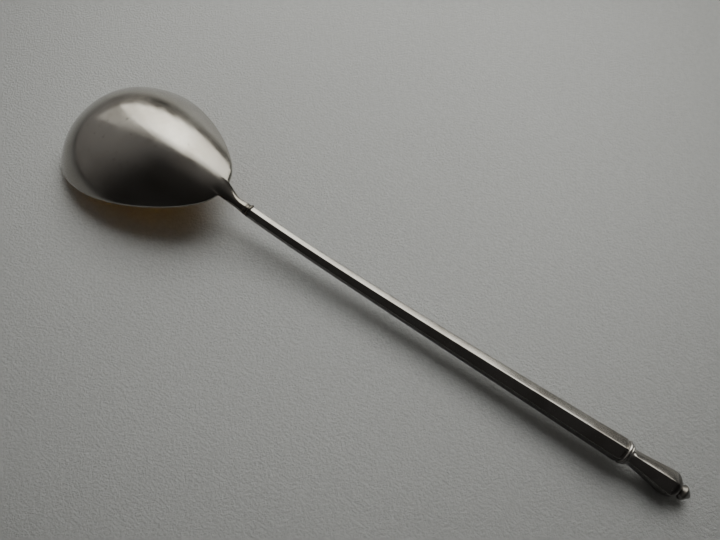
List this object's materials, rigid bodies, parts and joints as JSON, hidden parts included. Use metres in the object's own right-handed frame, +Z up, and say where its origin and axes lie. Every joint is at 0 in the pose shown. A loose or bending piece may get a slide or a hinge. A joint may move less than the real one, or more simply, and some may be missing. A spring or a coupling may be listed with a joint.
{
  "type": "coffee spoon",
  "caption": "Small silver coffee spoon with an egg-shaped bowl, a tapered six-sided handle and a baluster finial, lying bowl down.",
  "frame": {"origin": "on the table, below the middle of the overall length and width", "axes": "+X from the tip of the bowl to the end of the finial, +Y across the spoon, +Z up from the table towards the back of the bowl, which lies face down"},
  "size_m": [0.14, 0.0296, 0.0144],
  "materials": {
    "satin_silver": "satin, finely scratched, lightly toned",
    "polished_silver": "polished facets, darkened in the hollows"
  },
  "bodies": {
    "root": {"bowl": "satin_silver", "neck_collar": "polished_silver", "stem": "polished_silver", "ring_collar": "polished_silver", "finial": "polished_silver", "finial_button": "polished_silver"}
  },
  "joints": []
}
